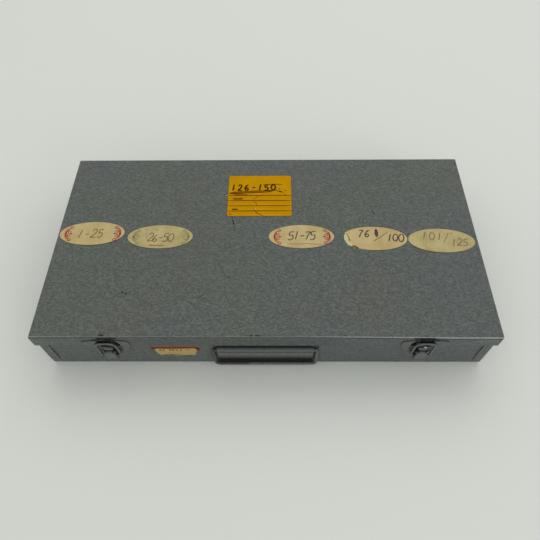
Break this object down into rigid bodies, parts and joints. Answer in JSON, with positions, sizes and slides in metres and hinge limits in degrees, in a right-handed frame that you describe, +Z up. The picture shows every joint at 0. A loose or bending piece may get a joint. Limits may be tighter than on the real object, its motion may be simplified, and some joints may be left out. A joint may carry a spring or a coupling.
{
  "type": "slide storage box",
  "caption": "Flat sheet-steel file box for mounted slides: a hinged lid on a tray with slotted dividers, closed by draw latches, with a drop handle on the front.",
  "frame": {"origin": "middle of the tray's underside, on the surface that the box stands on", "axes": "+X along the box, -Y out of the front with the latches and handle, +Z up"},
  "size_m": [0.378, 0.2072, 0.0542],
  "materials": {
    "hammertone_paint": "grey hammertone enamel, satin",
    "fittings_paint": "the same grey enamel over plated fittings, worn at the edges",
    "rack_steel": "grey enamel, satin",
    "bright_steel": "bare steel pins",
    "cream_paper": "aged cream paper",
    "yellow_paper": "amber yellow paper",
    "torn_paper": "torn and faded paper"
  },
  "bodies": {
    "tray": {"handle_bracket": "fittings_paint", "hinge_left_pin": "bright_steel", "hinge_left_tray_leaf": "fittings_paint", "hinge_right_pin": "bright_steel", "hinge_right_tray_leaf": "fittings_paint", "hinge_tray_rivets": "fittings_paint", "label_front": "torn_paper", "latch_left_lever_pin": "bright_steel", "latch_left_plate": "fittings_paint", "latch_left_plate_rivets": "fittings_paint", "latch_right_lever_pin": "bright_steel", "latch_right_plate": "fittings_paint", "latch_right_plate_rivets": "fittings_paint", "rack_divider_1": "rack_steel", "rack_divider_2": "rack_steel", "rack_divider_3": "rack_steel", "rack_divider_4": "rack_steel", "rack_divider_5": "rack_steel", "rack_end_strip_left": "rack_steel", "rack_end_strip_right": "rack_steel", "rack_rail_back": "rack_steel", "rack_rail_front": "rack_steel", "tray": "hammertone_paint"},
    "lid": {"hinge_left_lid_leaf": "fittings_paint", "hinge_lid_rivets": "fittings_paint", "hinge_right_lid_leaf": "fittings_paint", "label_card": "yellow_paper", "label_oval_1": "cream_paper", "label_oval_2": "cream_paper", "label_oval_3": "cream_paper", "label_oval_4": "cream_paper", "label_oval_5": "cream_paper", "latch_left_strike": "fittings_paint", "latch_left_strike_rivets": "fittings_paint", "latch_right_strike": "fittings_paint", "latch_right_strike_rivets": "fittings_paint", "lid": "hammertone_paint"},
    "bail": {"handle_bail": "fittings_paint"},
    "left_lever": {"latch_left_lever": "fittings_paint"},
    "left_loop": {"latch_left_loop": "fittings_paint"},
    "right_lever": {"latch_right_lever": "fittings_paint"},
    "right_loop": {"latch_right_loop": "fittings_paint"}
  },
  "joints": [
    {"name": "lid_hinge", "type": "hinge", "parent": "tray", "child": "lid", "pos_m": [0, 0.1009, 0.0386], "axis": [-1, 0, 0], "range_deg": [0, 186]},
    {"name": "bail_swing", "type": "hinge", "parent": "tray", "child": "bail", "pos_m": [0, -0.09865, 0.031], "axis": [-1, 0, 0], "range_deg": [0, 160]},
    {"name": "left_lever_pull", "type": "hinge", "parent": "tray", "child": "left_lever", "pos_m": [-0.129, -0.1003, 0.03], "axis": [-1, 0, 0], "range_deg": [0, 95]},
    {"name": "left_loop_swing", "type": "hinge", "parent": "left_lever", "child": "left_loop", "pos_m": [-0.129, -0.0997, 0.024], "axis": [-1, 0, 0], "range_deg": [-95, 0]},
    {"name": "right_lever_pull", "type": "hinge", "parent": "tray", "child": "right_lever", "pos_m": [0.129, -0.1003, 0.03], "axis": [-1, 0, 0], "range_deg": [0, 95]},
    {"name": "right_loop_swing", "type": "hinge", "parent": "right_lever", "child": "right_loop", "pos_m": [0.129, -0.0997, 0.024], "axis": [-1, 0, 0], "range_deg": [-95, 0]}
  ],
  "couplings": [
    {"joint": "left_loop_swing", "follows": "left_lever_pull", "ratio": -1},
    {"joint": "right_loop_swing", "follows": "right_lever_pull", "ratio": -1}
  ]
}
